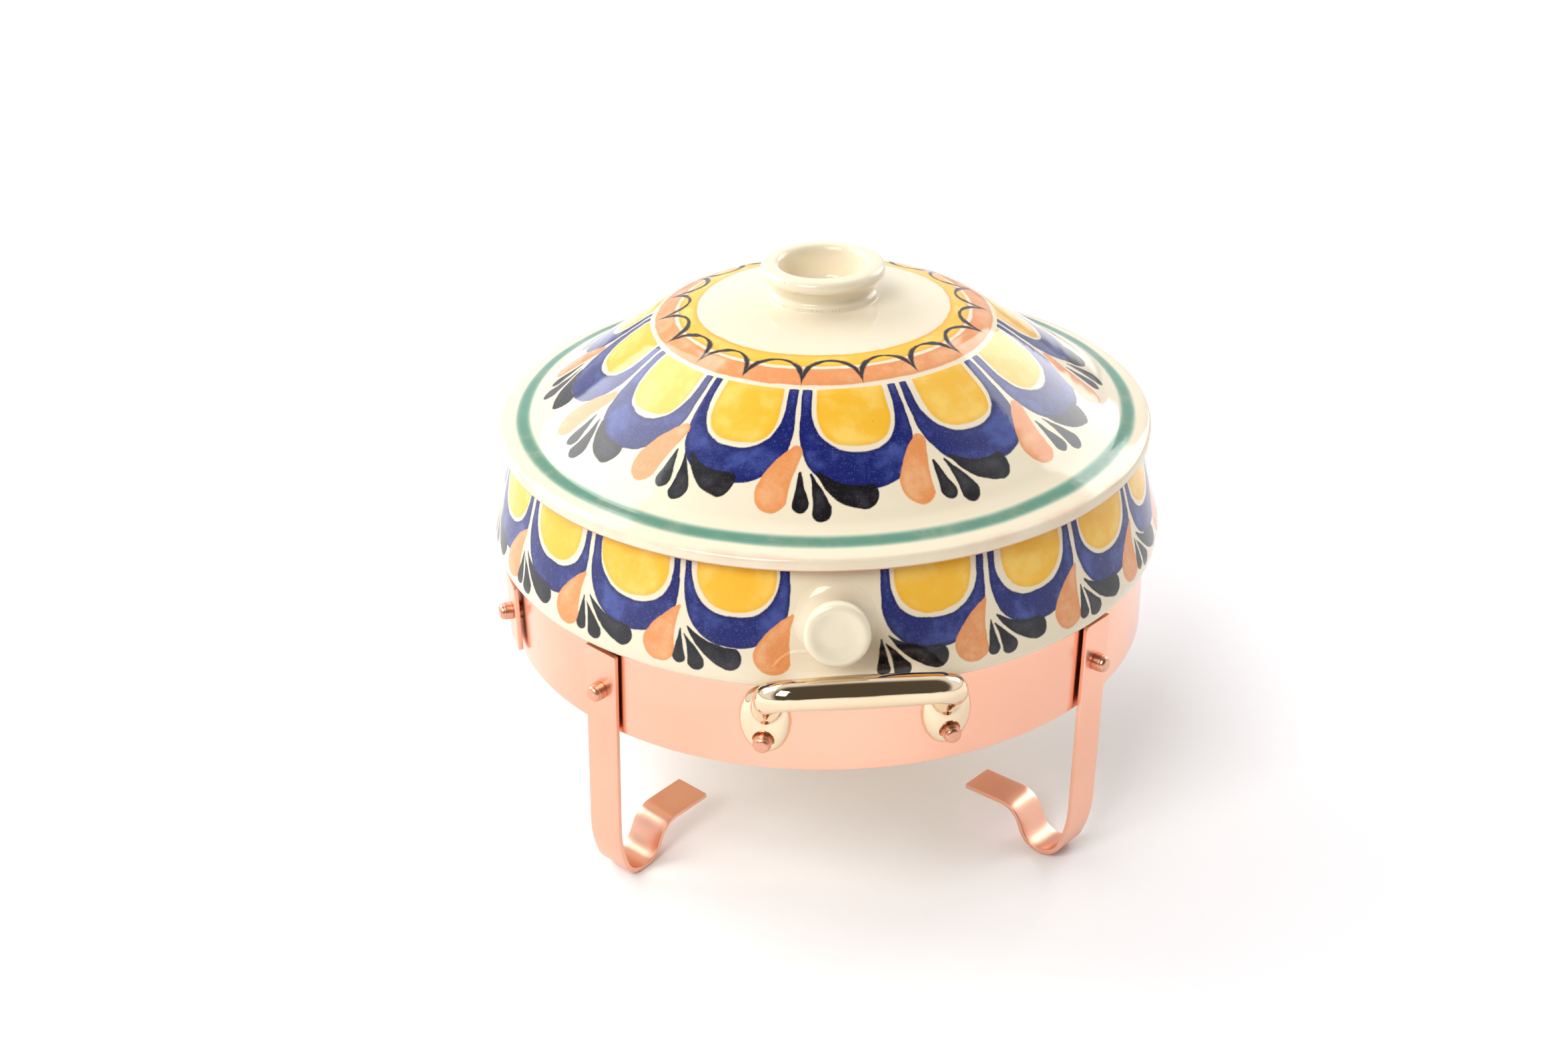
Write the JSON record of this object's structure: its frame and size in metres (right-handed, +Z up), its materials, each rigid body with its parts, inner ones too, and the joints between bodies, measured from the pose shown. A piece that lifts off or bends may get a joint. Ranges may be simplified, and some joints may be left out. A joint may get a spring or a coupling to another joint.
{
  "type": "fondue pot set",
  "caption": "Glazed earthenware fondue pot with a ring-knob lid, resting in an open copper stand of bent strip legs with two cast handles.",
  "frame": {"origin": "on the floor, midway across the whole object in X and Y", "axes": "+Z up; -Y is the front, where one cast handle and one bowl lug point; +X is the right-hand side seen from the front"},
  "size_m": [0.332, 0.3868, 0.2717],
  "materials": {
    "glaze": "gloss",
    "copper": "polished",
    "brass": "polished"
  },
  "bodies": {
    "stand": {"band": "copper", "side_strap": "copper", "leg_front_left": "copper", "leg_front_right": "copper", "leg_rear_right": "copper", "leg_rear_left": "copper", "handle_front": "brass", "handle_rear": "brass", "bolt_leg_front_left": "copper", "cap_nut_leg_front_left": "copper", "washer_leg_front_left": "copper", "bolt_leg_front_right": "copper", "cap_nut_leg_front_right": "copper", "washer_leg_front_right": "copper", "bolt_leg_rear_right": "copper", "cap_nut_leg_rear_right": "copper", "washer_leg_rear_right": "copper", "bolt_leg_rear_left": "copper", "cap_nut_leg_rear_left": "copper", "washer_leg_rear_left": "copper", "bolt_strap": "copper", "cap_nut_strap": "copper", "washer_strap": "copper", "bolt_handle_front_left": "copper", "cap_nut_handle_front_left": "copper", "bolt_handle_front_right": "copper", "cap_nut_handle_front_right": "copper", "bolt_handle_rear_left": "copper", "cap_nut_handle_rear_left": "copper", "bolt_handle_rear_right": "copper", "cap_nut_handle_rear_right": "copper"},
    "bowl": {"bowl": "glaze"},
    "lid": {"lid": "glaze"}
  },
  "joints": [
    {"name": "bowl_lift", "type": "slide", "parent": "stand", "child": "bowl", "axis": [0, 0, 1], "range_m": [0, 0.1]},
    {"name": "lid_lift", "type": "slide", "parent": "bowl", "child": "lid", "axis": [0, 0, 1], "range_m": [0, 0.1]}
  ]
}
